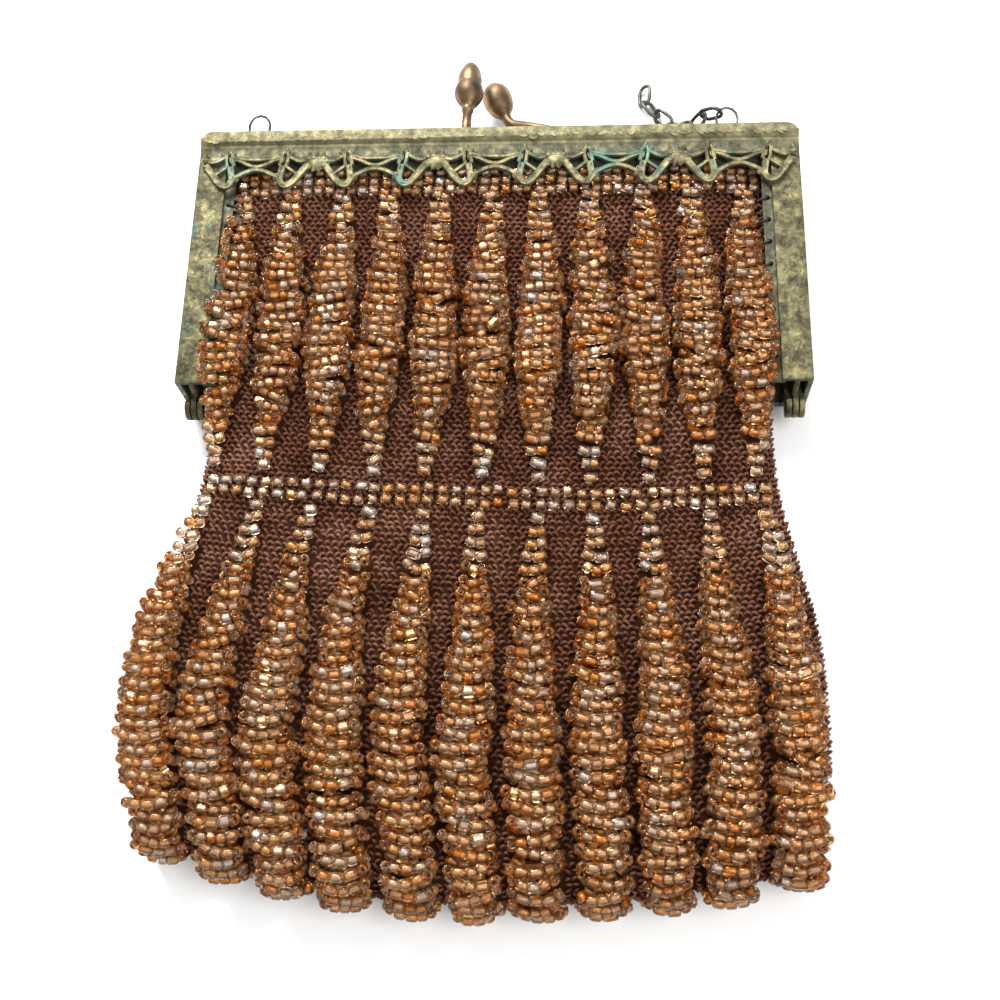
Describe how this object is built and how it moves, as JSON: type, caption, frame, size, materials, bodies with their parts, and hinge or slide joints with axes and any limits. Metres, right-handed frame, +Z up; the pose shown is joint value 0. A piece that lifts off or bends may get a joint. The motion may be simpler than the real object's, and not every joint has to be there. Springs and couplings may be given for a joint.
{
  "type": "beaded purse",
  "caption": "Swag-knit beaded purse lying on its back: hollow silk pouch with bead swags, hinged brass frame with pierced lace border, snap-clasp knobs and a broken chain.",
  "frame": {"origin": "middle of the bounding box on the surface the purse lies on", "axes": "+X to the picture's right, +Y up the purse towards the clasp, +Z up from the surface, out of the front face"},
  "size_m": [0.131, 0.182, 0.0182],
  "materials": {
    "silk_knit": "garter-stitch silk",
    "glass_beads": "colour-lined amber glass seed beads",
    "antique_brass": "engraved, worn plating with patina",
    "bronze": "worn, smooth",
    "chain_steel": "tarnished"
  },
  "bodies": {
    "root": {"knit_pouch": "silk_knit", "frame_front": "antique_brass", "frame_back": "antique_brass", "lace_border_front": "antique_brass", "lace_border_back": "antique_brass", "hinge_pin_left": "bronze", "hinge_pin_right": "bronze", "clasp_knob_front": "bronze", "clasp_knob_back": "bronze", "chain_link_1": "chain_steel", "chain_link_2": "chain_steel", "chain_link_3": "chain_steel", "chain_link_4": "chain_steel", "chain_link_5": "chain_steel", "chain_link_6": "chain_steel", "chain_link_7": "chain_steel", "bead_swag_front_01": "glass_beads", "bead_swag_front_02": "glass_beads", "bead_swag_front_03": "glass_beads", "bead_swag_front_04": "glass_beads", "bead_swag_front_05": "glass_beads", "bead_swag_front_06": "glass_beads", "bead_swag_front_07": "glass_beads", "bead_swag_front_08": "glass_beads", "bead_swag_front_09": "glass_beads", "bead_swag_front_10": "glass_beads", "bead_swag_front_11": "glass_beads", "bead_swag_back_01": "glass_beads", "bead_swag_back_02": "glass_beads", "bead_swag_back_03": "glass_beads", "bead_swag_back_04": "glass_beads", "bead_swag_back_05": "glass_beads", "bead_swag_back_06": "glass_beads", "bead_swag_back_07": "glass_beads", "bead_swag_back_08": "glass_beads", "bead_swag_back_09": "glass_beads", "bead_swag_back_10": "glass_beads", "bead_swag_back_11": "glass_beads"}
  },
  "joints": []
}
